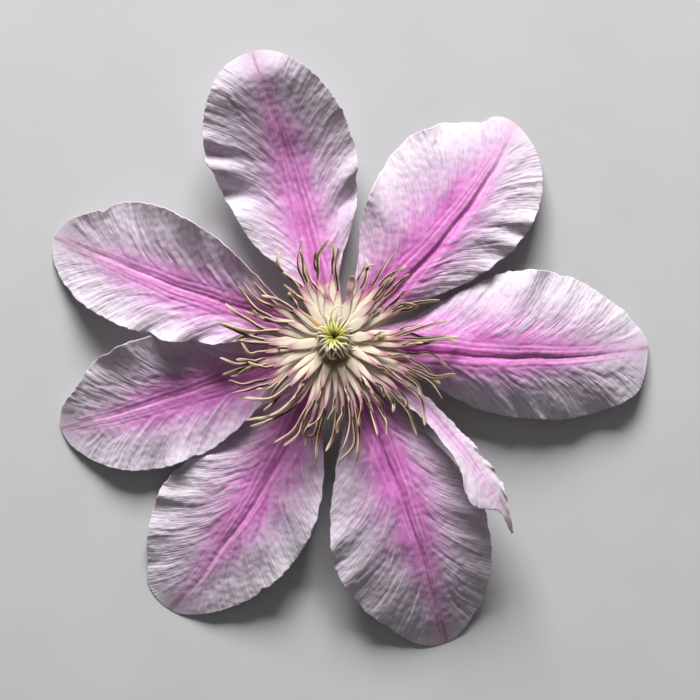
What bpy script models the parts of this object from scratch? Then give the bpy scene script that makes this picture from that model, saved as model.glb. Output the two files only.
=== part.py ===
"""A single large-flowered clematis flower, picked with a short stub of its stalk and laid face up.

Eight sepals spread from a receptacle on the cut stalk. Above them stand three whorls of strap-like
stamens, and the pistils with their curling styles sit in the middle. Millimetres are turned into
metres where a mesh is made. +Z is up, the flower rests on its sepals at Z = 0, and +Y is the side
of the broad upper sepal.
"""

import math
import random
from collections import namedtuple

import bmesh
import bpy
import numpy as np

MM = 0.001
GAP = 0.3  # clearance between pieces that touch in the real flower

# Receptacle: a turned shape given by (radius, height) from the cut end up
STALK_RADIUS = 1.45
STALK_END = 0.6
FLANGE_RADIUS = 3.4
COLUMN_RADIUS = 3.1
COLUMN_TOP = 14.6
RECEPTACLE_SIDES = 24

# Sepals
SEPAL_ROOT = FLANGE_RADIUS + GAP
SEPAL_THICKNESS = 0.5
SEPAL_ROWS = 15
SEPAL_COLUMNS = 10
SETTLING_STEPS = 60
MUCRO_HALF_WIDTH = 0.3
WIDTH_STATIONS = (0.0, 0.2, 0.35, 0.5, 0.65, 0.8, 0.9, 0.97, 1.0)
HEIGHT_STATIONS = (0.0, 0.2, 0.4, 0.6, 0.8, 0.92, 1.0)
ROLL_STATIONS = (0.0, 0.3, 0.55, 0.8, 1.0)

# azimuth and length of the chord from the flower's axis to the tip, bow of the midrib to the left,
# half widths to the left and right of the midrib at the stations between root and tip, heights of
# the midrib, how far the left and right margins stand above it, rest height of the lowest point
# (None where the sepal touches nothing), roll about the midrib in degrees, which raises the left
# side where it is positive, and the ruffle of the margins as (height, waves, phase) for each side
Sepal = namedtuple(
    "Sepal", "azimuth length bow left right spine edges rest roll ruffle_left ruffle_right"
)
SEPALS = (
    Sepal(106.1, 74.4, -1.15,
          (6.4, 14.0, 17.0, 19.4, 17.6, 13.4, 8.2), (5.5, 11.2, 15.2, 16.8, 15.4, 12.0, 7.4),
          (8.9, 8.4, 6.8, 5.0, 9.8, 12.0, 9.8), (1.8, 1.0), None, (0, 0, 0, 0, 0),
          (1.3, 3.2, 0.6), (1.0, 2.4, 2.0)),
    Sepal(50.1, 70.8, -3.9,
          (6.5, 15.7, 20.4, 21.3, 17.4, 11.2, 6.6), (5.2, 10.4, 14.3, 16.5, 16.2, 13.2, 8.2),
          (8.9, 10.4, 10.4, 8.8, 6.0, 3.4, 1.0), (-1.6, 0.6), 0.0, (0, 0, -2, -8, -12),
          (1.0, 4.0, 1.2), (0.8, 2.6, 0.4)),
    Sepal(-1.7, 79.0, -3.05,
          (6.4, 13.4, 19.4, 21.2, 17.0, 12.0, 5.6), (5.2, 10.8, 14.6, 15.9, 15.4, 13.6, 10.6),
          (8.9, 10.2, 11.2, 11.0, 8.8, 5.6, 2.6), (-4.4, -6.0), 0.0, (0, 0, 0, -6, -18),
          (0.9, 3.0, 2.4), (0.8, 2.6, 3.6)),
    Sepal(-47.5, 65.7, 5.2,
          (2.2, 2.2, 2.4, 3.0, 3.6, 2.2, 0.8), (2.2, 2.3, 2.5, 3.2, 6.0, 0.8, 0.5),
          (9.6, 10.8, 12.0, 13.4, 14.8, 14.4, 12.4), (-0.6, 1.0), None, (0, -14, -32, -34, -8),
          (0.3, 2.0, 0.0), (0.3, 2.4, 1.0)),
    Sepal(-69.9, 81.7, 2.9,
          (5.2, 11.0, 15.6, 18.0, 15.9, 12.2, 6.2), (6.0, 13.4, 19.6, 22.2, 18.4, 12.6, 7.4),
          (8.1, 9.2, 9.8, 8.8, 6.2, 3.4, 0.8), (-1.6, -0.4), 0.0, (0, 0, 0, 0, 0),
          (0.9, 3.4, 0.0), (1.0, 3.2, 1.5)),
    Sepal(-121.3, 80.0, 3.45,
          (5.5, 12.0, 16.4, 17.3, 14.9, 10.9, 5.8), (6.0, 13.4, 18.4, 20.8, 17.6, 12.6, 7.8),
          (7.9, 6.9, 6.9, 7.0, 5.4, 3.8, 2.0), (0.2, -1.7), 0.0, (0, 0, 0, 0, 0),
          (0.8, 2.8, 3.0), (1.0, 3.0, 0.6)),
    Sepal(-161.7, 72.6, 1.85,
          (5.5, 11.0, 14.8, 15.8, 14.5, 10.9, 6.2), (5.5, 11.5, 15.6, 17.0, 14.8, 9.4, 5.4),
          (8.6, 8.0, 7.6, 7.0, 5.2, 3.6, 2.0), (0.8, 1.8), 0.4, (0, 0, 0, 0, 0),
          (1.1, 2.6, 1.0), (0.6, 2.4, 2.2)),
    Sepal(160.0, 75.2, 1.6,
          (5.5, 10.4, 12.9, 13.8, 13.0, 10.2, 6.0), (6.0, 11.8, 15.9, 17.6, 15.4, 9.8, 5.4),
          (9.7, 10.6, 10.6, 9.4, 6.6, 4.4, 3.2), (1.4, 4.2), 0.0, (0, 0, 0, 0, 0),
          (0.9, 3.2, 0.3), (0.9, 3.0, 1.8)),
)

# Stamens: flat filaments that end in narrow anthers, in three whorls one above the other
STAMEN_ROOT = COLUMN_RADIUS + GAP
STAMEN_THICKNESS = 0.45
STAMEN_RINGS = 10
FILAMENT_WIDTH = 2.3
ANTHER_WIDTH = 1.25
ANTHER_TIP_WIDTH = 0.7
CROWDING = 0.78  # share of the room round the column that the filaments of a whorl take

# number of stamens, azimuth of the first, root height, height gained, radius reached, its spread
Whorl = namedtuple("Whorl", "count first root rise reach spread")
WHORLS = (
    Whorl(20, 4.0, 10.9, 3.2, 28.4, 1.8),
    Whorl(17, 12.0, 12.3, 3.9, 24.4, 1.6),
    Whorl(13, 20.0, 13.7, 4.6, 18.6, 1.2),
)
CURL_SPREAD = 1.3  # sideways reach of an anther's tip, standard deviation
HOOK_SPREAD = 0.5

# Pistils: a dome of carpels that carries the styles
DOME_RADIUS = 2.7
DOME_HEIGHT = 3.4
DOME_SPAN = math.radians(78)  # from the dome's foot towards its top
DOME_RINGS = 6
DOME_SIDES = 16
STYLE_COUNT = 15
STYLE_REACH = 6.0
STYLE_TOP = 20.4
STYLE_WIDTH = 1.0
STYLE_THICKNESS = 0.5
STYLE_RINGS = 8


def clear_scene():
    for old in list(bpy.data.objects):
        bpy.data.objects.remove(old)


def make_material(name, colour, roughness):
    material = bpy.data.materials.new(name)
    material.use_nodes = True
    shader = material.node_tree.nodes["Principled BSDF"]
    shader.inputs["Base Color"].default_value = (*colour, 1.0)
    shader.inputs["Roughness"].default_value = roughness
    shader.inputs["Metallic"].default_value = 0.0
    return material


def add_object(name, bm, material):
    """Writes a bmesh in millimetres to a named, smooth-shaded object in metres."""
    bmesh.ops.scale(bm, vec=(MM, MM, MM), verts=bm.verts)
    bmesh.ops.recalc_face_normals(bm, faces=bm.faces)
    mesh = bpy.data.meshes.new(name)
    bm.to_mesh(mesh)
    bm.free()
    mesh.shade_smooth()
    mesh.set_sharp_from_angle(angle=math.radians(50))
    mesh.materials.append(material)
    made = bpy.data.objects.new(name, mesh)
    bpy.context.scene.collection.objects.link(made)
    return made


def through(stations, values, places):
    """Reads a smooth curve through the values at the stations, at the given places."""
    stations = np.asarray(stations, float)
    values = np.asarray(values, float)
    slopes = np.gradient(values, stations)
    left = np.clip(np.searchsorted(stations, places, side="right") - 1, 0, len(stations) - 2)
    step = stations[left + 1] - stations[left]
    s = (places - stations[left]) / step
    return (
        values[left] * (1 + 2 * s) * (1 - s) ** 2
        + values[left + 1] * s ** 2 * (3 - 2 * s)
        + slopes[left] * step * s * (1 - s) ** 2
        - slopes[left + 1] * step * s ** 2 * (1 - s)
    )


def half_width(widths, t):
    """Half width of a sepal at the shares t of its length, with a round tip that ends in a mucro."""
    root = 1.0
    to_tip = np.sqrt(1.0 - np.asarray(WIDTH_STATIONS))[::-1]
    values = np.array((root, *widths, 0.0))[::-1]
    return np.maximum(through(to_tip, values, np.sqrt(1.0 - t)), MUCRO_HALF_WIDTH)


def sepal_surface(sepal, rows, columns):
    """Middle surface of a sepal as an array of points, rows from root to tip, columns from right to left."""
    t = 1.0 - np.linspace(1.0, 0.0, rows)[:, None] ** 1.35
    v = np.linspace(-1.0, 1.0, columns)[None, :]
    left, right = half_width(sepal.left, t), half_width(sepal.right, t)
    along = np.array((math.cos(math.radians(sepal.azimuth)), math.sin(math.radians(sepal.azimuth))))
    across = np.array((-along[1], along[0]))
    radius = SEPAL_ROOT + (sepal.length - SEPAL_ROOT) * t
    aside = np.where(v > 0, v * left, v * right)
    offset = 4.0 * sepal.bow * t * (1.0 - t) + aside
    x = radius * along[0] + offset * across[0]
    y = radius * along[1] + offset * across[1]
    growth = np.sin(math.pi * np.clip(t * 0.92 + 0.04, 0.0, 1.0)) ** 0.8
    lift = np.where(v > 0, sepal.edges[0], sepal.edges[1]) * growth * v ** 2
    ripple = np.zeros_like(lift)
    for side, (height, waves, phase) in ((1.0, sepal.ruffle_left), (-1.0, sepal.ruffle_right)):
        reach = np.clip(v * side, 0.0, 1.0) ** 3
        ripple = ripple + height * reach * growth * np.sin(2.0 * math.pi * waves * t + phase)
    roll = np.tan(np.radians(through(ROLL_STATIONS, sepal.roll, t)))
    z = through(HEIGHT_STATIONS, sepal.spine, t) + lift + ripple + aside * roll
    return np.stack(np.broadcast_arrays(x, y, z), axis=-1), t


def surface_normals(points):
    down_rows = np.gradient(points, axis=0)
    over_columns = np.gradient(points, axis=1)
    normals = np.cross(down_rows, over_columns)
    return normals / np.linalg.norm(normals, axis=-1, keepdims=True)


def sepal_skins(sepal):
    """Upper and lower skin of a sepal, bent up or down until its lowest point has its rest height."""
    points, t = sepal_surface(sepal, SEPAL_ROWS, SEPAL_COLUMNS)
    half = 0.5 * SEPAL_THICKNESS * surface_normals(points)
    if sepal.rest is not None:
        give = np.clip((t - 0.3) / 0.7, 0.0, 1.0) ** 1.5
        for _ in range(SETTLING_STEPS):
            points[..., 2] += (sepal.rest - (points - half)[..., 2].min()) * give
            half = 0.5 * SEPAL_THICKNESS * surface_normals(points)
    return points + half, points - half


def shell_from_grids(top, bottom):
    """Closes two matching grids of points into one solid: two skins and the rim between them."""
    bm = bmesh.new()
    rows, columns = top.shape[:2]
    skins = [
        [[bm.verts.new(grid[r, c]) for c in range(columns)] for r in range(rows)]
        for grid in (top, bottom)
    ]
    for skin in skins:
        for r in range(rows - 1):
            for c in range(columns - 1):
                bm.faces.new((skin[r][c], skin[r][c + 1], skin[r + 1][c + 1], skin[r + 1][c]))
    rim = [(0, c) for c in range(columns)]
    rim += [(r, columns - 1) for r in range(1, rows)]
    rim += [(rows - 1, c) for c in range(columns - 2, -1, -1)]
    rim += [(r, 0) for r in range(rows - 2, 0, -1)]
    for here, after in zip(rim, rim[1:] + rim[:1]):
        corners = (skins[0][here[0]][here[1]], skins[0][after[0]][after[1]])
        under = (skins[1][after[0]][after[1]], skins[1][here[0]][here[1]])
        bm.faces.new((*corners, *under))
    return bm


def build_sepal(number, sepal, material):
    return add_object(f"sepal_{number}", shell_from_grids(*sepal_skins(sepal)), material)


def turned(profile, sides):
    """A solid of revolution about Z from (radius, height) pairs that run from its foot to its top."""
    bm = bmesh.new()
    angles = [2.0 * math.pi * k / sides for k in range(sides)]
    rings = [
        [bm.verts.new((radius * math.cos(a), radius * math.sin(a), height)) for a in angles]
        for radius, height in profile
    ]
    for lower, upper in zip(rings, rings[1:]):
        for k in range(sides):
            after = (k + 1) % sides
            bm.faces.new((lower[k], lower[after], upper[after], upper[k]))
    bm.faces.new(list(reversed(rings[0])))
    bm.faces.new(rings[-1])
    return bm


def build_receptacle(material):
    """Cut stalk, flange that carries the sepals and column that carries the stamens."""
    profile = (
        (STALK_RADIUS * 0.9, STALK_END),
        (STALK_RADIUS, STALK_END + 0.4),
        (STALK_RADIUS, 4.0),
        (STALK_RADIUS * 1.25, 5.6),
        (2.6, 6.6),
        (FLANGE_RADIUS, 7.4),
        (FLANGE_RADIUS, 10.2),
        (COLUMN_RADIUS, 10.6),
        (COLUMN_RADIUS, COLUMN_TOP - 0.7),
        (COLUMN_RADIUS - 0.6, COLUMN_TOP),
    )
    return add_object("receptacle", turned(profile, RECEPTACLE_SIDES), material)


def strap(path, widths, thickness, twists):
    """A flat strap along a path: a rectangular section at each point, turned about the path by its twist."""
    tangents = np.gradient(path, axis=0)
    tangents /= np.linalg.norm(tangents, axis=1, keepdims=True)
    level = np.cross((0.0, 0.0, 1.0), tangents)
    level /= np.linalg.norm(level, axis=1, keepdims=True)
    upright = np.cross(tangents, level)
    bm = bmesh.new()
    rings = []
    for centre, side, up, width, twist in zip(path, level, upright, widths, twists):
        flat = side * math.cos(twist) + up * math.sin(twist)
        proud = up * math.cos(twist) - side * math.sin(twist)
        corners = ((-1, -1), (1, -1), (1, 1), (-1, 1))
        rings.append([
            bm.verts.new(centre + 0.5 * (a * width * flat + b * thickness * proud)) for a, b in corners
        ])
    for near, far in zip(rings, rings[1:]):
        for k in range(4):
            after = (k + 1) % 4
            bm.faces.new((near[k], near[after], far[after], far[k]))
    bm.faces.new(list(reversed(rings[0])))
    bm.faces.new(rings[-1])
    return bm


def build_stamen(number, whorl, place, draw, material):
    """One stamen: a filament that widens away from the column, then an anther that curls aside."""
    azimuth = math.radians(whorl.first + 360.0 * place / whorl.count)
    out = np.array((math.cos(azimuth), math.sin(azimuth), 0.0))
    aside = np.array((-out[1], out[0], 0.0))
    s = np.linspace(0.0, 1.0, STAMEN_RINGS)
    reach = whorl.reach + draw.uniform(-whorl.spread, whorl.spread)
    radius = STAMEN_ROOT + (reach - STAMEN_ROOT) * s
    curl = draw.gauss(0.0, CURL_SPREAD) * np.clip((s - 0.5) / 0.5, 0.0, 1.0) ** 1.6
    hook = draw.gauss(0.0, HOOK_SPREAD) * np.clip((s - 0.6) / 0.4, 0.0, 1.0) ** 2
    height = whorl.root + whorl.rise * np.sin(0.5 * math.pi * np.clip(s / 0.8, 0.0, 1.0)) + hook
    path = radius[:, None] * out + curl[:, None] * aside + height[:, None] * (0.0, 0.0, 1.0)
    room = CROWDING * 2.0 * math.pi * radius / whorl.count
    filament = np.minimum(FILAMENT_WIDTH, room)
    anther = np.where(s > 0.97, ANTHER_TIP_WIDTH, ANTHER_WIDTH)
    widths = np.where(s < 0.55, filament, anther)
    twists = draw.gauss(0.0, 0.35) * np.clip((s - 0.5) / 0.5, 0.0, 1.0)
    bm = strap(path, widths, STAMEN_THICKNESS, twists)
    return add_object(f"stamen_{number:02d}", bm, material)


def build_stamens(material):
    draw = random.Random(11)
    made = []
    for whorl in WHORLS:
        for place in range(whorl.count):
            made.append(build_stamen(len(made) + 1, whorl, place, draw, material))
    return made


def style_mesh(azimuth, reach, top, lean):
    """One style: it leaves the dome upright and curls outward to its stigma."""
    out = np.array((math.cos(azimuth), math.sin(azimuth), 0.0))
    aside = np.array((-out[1], out[0], 0.0))
    s = np.linspace(0.0, 1.0, STYLE_RINGS)
    base = COLUMN_TOP + GAP + 1.0
    radius = 1.1 + (reach - 1.1) * s ** 1.6
    height = base + (top - base) * np.sin(0.62 * math.pi * s) / math.sin(0.5 * math.pi)
    path = radius[:, None] * out + (lean * s ** 2)[:, None] * aside + height[:, None] * (0.0, 0.0, 1.0)
    widths = STYLE_WIDTH * (1.0 - 0.4 * s)
    return strap(path, widths, STYLE_THICKNESS, np.zeros_like(s))


def build_pistils(material):
    """Dome of carpels with the styles grown together at its top, joined into one solid."""
    draw = random.Random(5)
    base = COLUMN_TOP + GAP
    steps = np.linspace(0.0, DOME_SPAN, DOME_RINGS)
    profile = [(DOME_RADIUS * math.cos(a), base + DOME_HEIGHT * math.sin(a)) for a in steps]
    tuft = add_object("pistils", turned(profile, DOME_SIDES), material)
    for k in range(STYLE_COUNT):
        azimuth = 2.0 * math.pi * (k + draw.uniform(-0.2, 0.2)) / STYLE_COUNT
        inner = k % 3 == 0
        reach = STYLE_REACH * (0.45 if inner else draw.uniform(0.85, 1.0))
        top = STYLE_TOP + (1.2 if inner else draw.uniform(-1.2, 0.0))
        shape = style_mesh(azimuth, reach, top, draw.uniform(-0.8, 0.8))
        cutter = add_object(f"style_guide_{k:02d}", shape, material)
        cutter.hide_render = True
        cutter.display_type = "WIRE"
        join = tuft.modifiers.new(f"style_{k:02d}", "BOOLEAN")
        join.operation = "UNION"
        join.solver = "EXACT"
        join.object = cutter
    return tuft


def centre_on_origin(parts):
    """Moves the parts so that their common box is centred over the origin and stands on Z = 0."""
    corners = np.array([v.co for part in parts for v in part.data.vertices])
    low, high = corners.min(axis=0), corners.max(axis=0)
    shift = ((low[0] + high[0]) / 2, (low[1] + high[1]) / 2, low[2])
    for thing in bpy.context.scene.objects:
        thing.location = (-shift[0], -shift[1], -shift[2])


def main():
    clear_scene()
    sepal_material = make_material("sepal", (0.62, 0.38, 0.58), 0.6)
    stamen_material = make_material("stamen", (0.78, 0.70, 0.58), 0.55)
    pistil_material = make_material("pistil", (0.62, 0.64, 0.34), 0.55)
    stalk_material = make_material("receptacle", (0.28, 0.36, 0.14), 0.6)
    parts = [build_receptacle(stalk_material)]
    for number, sepal in enumerate(SEPALS, start=1):
        parts.append(build_sepal(number, sepal, sepal_material))
    parts += build_stamens(stamen_material)
    parts.append(build_pistils(pistil_material))
    centre_on_origin(parts)


main()
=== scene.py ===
"""Looks of a picked large-flowered clematis that lies face up on a pale surface.

Lengths are millimetres about the flower's own axis, and become metres in the model's frame where a
mesh is made. Angles in the tables are degrees, counter-clockwise from +X. Left and right are as seen
from above, looking from the axis to the sepal's tip. Each sepal is one thin veined sheet with two
finished sides. The stamens are joined into one piece for each group.
"""

import math
import random
from collections import namedtuple

import bpy
import numpy as np
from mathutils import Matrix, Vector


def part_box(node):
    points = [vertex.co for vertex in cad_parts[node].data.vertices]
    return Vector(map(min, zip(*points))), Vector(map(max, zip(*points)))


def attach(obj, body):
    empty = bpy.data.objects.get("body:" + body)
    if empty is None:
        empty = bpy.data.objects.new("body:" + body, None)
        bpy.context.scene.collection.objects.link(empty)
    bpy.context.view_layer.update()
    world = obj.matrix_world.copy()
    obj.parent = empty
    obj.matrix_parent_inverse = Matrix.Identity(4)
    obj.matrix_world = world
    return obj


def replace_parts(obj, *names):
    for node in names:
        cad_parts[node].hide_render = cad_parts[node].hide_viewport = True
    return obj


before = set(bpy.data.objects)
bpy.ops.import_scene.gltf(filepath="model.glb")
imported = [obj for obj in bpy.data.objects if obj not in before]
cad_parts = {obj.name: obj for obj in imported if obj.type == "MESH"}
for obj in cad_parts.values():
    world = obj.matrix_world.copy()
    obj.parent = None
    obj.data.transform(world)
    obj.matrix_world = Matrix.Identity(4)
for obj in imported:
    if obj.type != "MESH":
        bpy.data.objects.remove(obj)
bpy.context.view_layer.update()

MM = 0.001
STALK_END = 0.6  # height of the cut end of the stalk
stalk_low, stalk_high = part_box("receptacle")
AXIS = (
    0.5 * (stalk_low[0] + stalk_high[0]),
    0.5 * (stalk_low[1] + stalk_high[1]),
    stalk_low[2] - STALK_END * MM,
)
COLUMN_TOP = (stalk_high[2] - AXIS[2]) / MM

# Noise for the shapes
NOISE_CELLS = 256
NOISE_GAIN = 1.6  # brings gradient noise to about -1 to 1

# Sepals
SEPAL_ROOT = 3.1  # distance of their roots from the axis
USUAL_LENGTH = 78.0  # stands for every sepal's length in the materials' noise
SEPAL_THICKNESS = 0.42
MARGIN_THICKNESS = 0.16
LEAST_THICKNESS = 0.6 * MARGIN_THICKNESS
SEPAL_ROWS = 271
ROW_CROWDING = 1.35  # above 1, the rows lie closer together towards the tip
SEPAL_COLUMNS = 125
NARROW_COLUMNS = 57
NARROW_HALF_WIDTH = 8.0  # a sepal whose left half is nowhere wider than this is narrow
SETTLING_STEPS = 40
ROOT_HALF_WIDTH = 1.0
MUCRO_HALF_WIDTH = 0.3
SCALLOP_DEPTH = 0.28
SCALLOP_LENGTHS = (2.6, 1.1)
WAVE_HEIGHT = 1.5  # raises every single wave of the margins
WAVE_FADE = 2.8  # how fast a wave dies out from the margin inward
WAVE_LEAN = 0.13  # how far a wave has moved towards the root at the midrib, as a share of the length
WIDTH_STATIONS = (0.0, 0.2, 0.35, 0.5, 0.65, 0.8, 0.9, 0.97, 1.0)
HEIGHT_STATIONS = (0.0, 0.2, 0.4, 0.6, 0.8, 0.92, 1.0)
ROLL_STATIONS = (0.0, 0.3, 0.55, 0.8, 1.0)

# azimuth, length: chord from the axis to the tip
# bow: how far the midrib bends to the left of its chord
# left, right: half widths at the stations between root and tip
# spine: heights of the midrib
# edges: heights of the left and right margins above the midrib
# rest: height of the underside's lowest point, or None where the sepal lies clear of the surface
# groove: the groove beside the midrib as (offset to the left, depth)
# bar: the pink bar's (width to the left, width to the right, strength) against the usual ones
# waves: waves of the margins as (side, share of the length, height, breadth)
# notches: notches in the outline as (side, share of the length, depth, breadth)
# stains: brown stains as (share of the length, offset to the left, length, width)
# roll: turn about the midrib, which raises the left side where it is positive
# Here side is 1 on the left and -1 on the right.
Sepal = namedtuple(
    "Sepal", "azimuth length bow left right spine edges rest groove bar waves notches stains roll",
    defaults=((0, 0, 0, 0, 0),),
)
SEPALS = (
    Sepal(106.1, 74.4, -1.15,
          (6.4, 14.0, 17.0, 19.4, 17.6, 13.4, 8.2), (5.9, 12.2, 16.2, 17.1, 15.2, 11.3, 6.4),
          (8.9, 7.2, 5.3, 5.7, 10.4, 13.0, 11.7), (1.6, 1.0), None,
          groove=(0.3, 0.35), bar=(1.1, 1.1, 0.85),
          waves=((1, 0.755, 0.9, 0.018), (1, 0.71, -0.9, 0.018), (1, 0.66, 1.6, 0.03),
                 (1, 0.565, -1.7, 0.03), (1, 0.46, 1.3, 0.04), (-1, 0.73, 0.7, 0.02),
                 (-1, 0.515, 1.6, 0.025), (-1, 0.44, -1.5, 0.025), (-1, 0.36, 0.9, 0.03)),
          notches=((1, 0.62, 0.5, 0.02), (-1, 0.47, 0.6, 0.02)),
          stains=((0.96, 0.0, 2.5, 0.35),)),
    Sepal(50.1, 70.8, -3.9,
          (9.2, 17.3, 21.2, 22.2, 17.8, 9.9, 5.3), (5.2, 10.4, 14.3, 16.5, 16.2, 13.2, 8.2),
          (8.9, 10.4, 10.4, 8.8, 6.0, 3.4, 1.0), (-1.6, -1.8), 0.0,
          roll=(0, 0, 0, -4, -9), groove=(-1.7, 0.8), bar=(1.7, 1.0, 1.0),
          waves=((-1, 0.755, 0.9, 0.02), (-1, 0.705, -0.8, 0.018), (-1, 0.655, 1.0, 0.02),
                 (-1, 0.59, -0.7, 0.025), (-1, 0.52, 0.6, 0.03), (1, 0.46, 1.7, 0.045),
                 (1, 0.60, -0.9, 0.04), (1, 0.76, 1.3, 0.028), (1, 0.86, -0.6, 0.03)),
          notches=((1, 0.925, 0.9, 0.014), (1, 0.78, 0.6, 0.015), (1, 0.66, 0.4, 0.012)),
          stains=((0.749, 15.2, 1.0, 0.35),)),
    Sepal(-1.7, 79.0, -3.05,
          (7.4, 14.6, 20.4, 21.4, 16.8, 11.2, 5.2), (5.2, 10.8, 14.6, 15.9, 15.4, 13.6, 10.6),
          (8.9, 10.2, 11.2, 11.0, 8.8, 5.6, 2.6), (-4.6, -6.2), 0.0,
          roll=(0, -5, 0, -4, -18), groove=(-0.6, 0.65), bar=(1.5, 0.9, 1.0),
          waves=((1, 0.24, -1.2, 0.07), (1, 0.36, 1.6, 0.05), (1, 0.50, -0.9, 0.035), (1, 0.62, 1.3, 0.025),
                 (1, 0.78, -0.8, 0.06), (-1, 0.28, 1.3, 0.06), (-1, 0.55, 1.0, 0.022),
                 (-1, 0.60, -0.5, 0.015), (-1, 0.645, 0.9, 0.02), (-1, 0.83, -0.8, 0.03)),
          notches=((1, 0.70, 0.4, 0.012),),
          stains=((0.99, 0.0, 1.8, 0.5),)),
    Sepal(-47.5, 65.7, 5.2,
          (2.2, 2.2, 2.4, 3.0, 3.6, 2.2, 0.8), (2.2, 2.3, 2.5, 3.2, 6.0, 0.8, 0.5),
          (9.6, 10.8, 12.0, 13.4, 14.8, 14.4, 12.4), (-0.6, 1.0), None,
          roll=(0, -14, -32, -34, -8), groove=(0.2, 0.3), bar=(0.17, 0.22, 0.36),
          waves=((-1, 0.3, 0.8, 0.05), (-1, 0.78, -1.0, 0.05), (1, 0.66, 0.5, 0.014),
                 (1, 0.71, -0.6, 0.014), (1, 0.76, 0.7, 0.014), (1, 0.81, -0.6, 0.014),
                 (1, 0.86, 0.9, 0.02)),
          notches=((1, 0.71, 0.4, 0.01), (1, 0.80, 0.5, 0.012)),
          stains=((1.0, 0.0, 3.2, 1.6), (0.9, 1.2, 2.6, 0.5), (0.78, 3.2, 2.2, 0.5))),
    Sepal(-69.9, 81.7, 2.9,
          (5.2, 11.0, 15.6, 18.0, 15.9, 12.2, 6.2), (6.0, 13.4, 19.6, 22.2, 18.4, 12.6, 7.4),
          (8.1, 9.8, 11.0, 10.4, 6.8, 2.8, -0.4), (-1.6, -2.0), 0.0,
          groove=(-1.1, 0.5), bar=(1.15, 1.3, 1.0),
          waves=((-1, 0.585, 1.1, 0.03), (-1, 0.635, -0.5, 0.018), (-1, 0.71, 0.9, 0.022),
                 (-1, 0.78, -0.6, 0.03), (1, 0.655, 1.2, 0.025), (1, 0.71, -0.8, 0.03),
                 (1, 0.85, 0.8, 0.03), (1, 0.45, 0.8, 0.05)),
          notches=((1, 0.88, 0.6, 0.015), (1, 0.945, 0.6, 0.012), (1, 0.69, 0.5, 0.02)),
          stains=((0.965, 0.2, 3.5, 0.45), (0.93, -1.0, 3.0, 0.3))),
    Sepal(-121.3, 80.0, 3.45,
          (5.5, 12.0, 16.4, 17.3, 14.9, 10.9, 5.8), (6.0, 13.4, 18.4, 20.8, 17.6, 12.6, 7.8),
          (7.9, 6.9, 6.9, 7.0, 5.4, 3.8, 2.0), (0.2, -2.6), 0.0,
          groove=(1.4, 0.5), bar=(1.3, 1.35, 0.9),
          waves=((-1, 0.70, 0.9, 0.016), (-1, 0.62, 0.7, 0.02), (-1, 0.54, 1.2, 0.025),
                 (-1, 0.43, -0.9, 0.05), (1, 0.48, 1.5, 0.09), (1, 0.72, 0.8, 0.03),
                 (1, 0.63, -0.8, 0.03), (-1, 0.82, 0.7, 0.03)),
          notches=((1, 0.78, 0.7, 0.008), (-1, 0.56, 0.4, 0.02)),
          stains=((0.975, 0.0, 4.0, 0.7), (0.9, 0.9, 3.0, 0.3))),
    Sepal(-161.7, 72.6, 1.85,
          (5.5, 11.0, 14.8, 15.8, 14.5, 10.9, 6.2), (5.5, 11.5, 15.6, 17.0, 14.8, 9.4, 5.4),
          (8.6, 6.8, 6.0, 5.6, 4.4, 3.2, 2.0), (1.0, 4.2), 0.4,
          groove=(-0.9, 0.35), bar=(1.3, 1.1, 0.95),
          waves=((1, 0.35, 1.2, 0.08), (1, 0.63, 1.3, 0.035), (1, 0.72, -0.8, 0.03),
                 (1, 0.52, -0.5, 0.02), (-1, 0.70, 0.8, 0.03), (-1, 0.82, -0.6, 0.03)),
          notches=((1, 0.575, 0.6, 0.015), (-1, 0.75, 0.5, 0.015)),
          stains=((0.95, -0.2, 4.5, 0.4), (0.9, 0.9, 5.0, 0.3))),
    Sepal(160.0, 75.2, 1.6,
          (5.5, 10.4, 12.9, 13.8, 13.0, 10.2, 6.0), (6.0, 11.8, 15.9, 17.6, 15.4, 9.8, 5.4),
          (9.7, 10.6, 10.6, 9.4, 6.6, 4.4, 3.2), (1.2, 4.6), 0.0,
          groove=(-0.4, 0.35), bar=(1.0, 1.1, 0.85),
          waves=((1, 0.33, 1.2, 0.03), (1, 0.40, -0.6, 0.02), (1, 0.49, 1.6, 0.03),
                 (1, 0.575, -0.8, 0.02), (1, 0.66, 1.1, 0.03), (1, 0.8, 0.7, 0.03),
                 (-1, 0.56, 1.3, 0.04), (-1, 0.40, 0.8, 0.03), (-1, 0.80, -0.9, 0.03)),
          notches=((-1, 0.86, 1.2, 0.012), (1, 0.41, 0.9, 0.018), (1, 0.49, -0.7, 0.02),
                   (1, 0.57, 0.6, 0.015)),
          stains=((0.94, 0.2, 5.5, 0.5), (0.86, -0.9, 6.0, 0.35), (0.9, 1.2, 4.0, 0.3))),
)

# Veins: they leave the midrib at a sharp angle and bend out towards the margin
VEIN_SWEEP = 18.0
VEIN_BEND = 8.0
VEIN_SLOPE = 0.25
VEIN_HEIGHT = 0.09
# Creases and ridges follow the veins, and so do the wider folds; dents and blisters lie every way
CREASE_HEIGHT = 0.15
RIDGE_HEIGHT = 0.27
FOLD_HEIGHT = 0.10
DENT_HEIGHT = 0.28
BLISTER_HEIGHT = 0.09
SIDES_APART = 40.0  # keeps the noise on the left of the midrib unlike the noise on its right

# Ribs beside the midrib, which draw together towards the tip
RIB_TAPER = 0.55
GROOVE_WALLS = (0.6, 1.15)  # breadths of the groove's left and right walls
GROOVE_BANKS = ((2.3, 0.10, 1.1), (-2.3, 0.06, 1.1))  # offset, share of the groove's depth, breadth
RIB_LINES = ((0.8, 0.28, 0.10), (2.2, 0.3, 0.12), (3.9, 0.35, 0.12))  # distance, breadth, depth
KEELS = ((0.0, 0.5, 0.45), (2.3, 0.4, 0.22))  # on the underside, as distance, breadth, height

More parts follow.
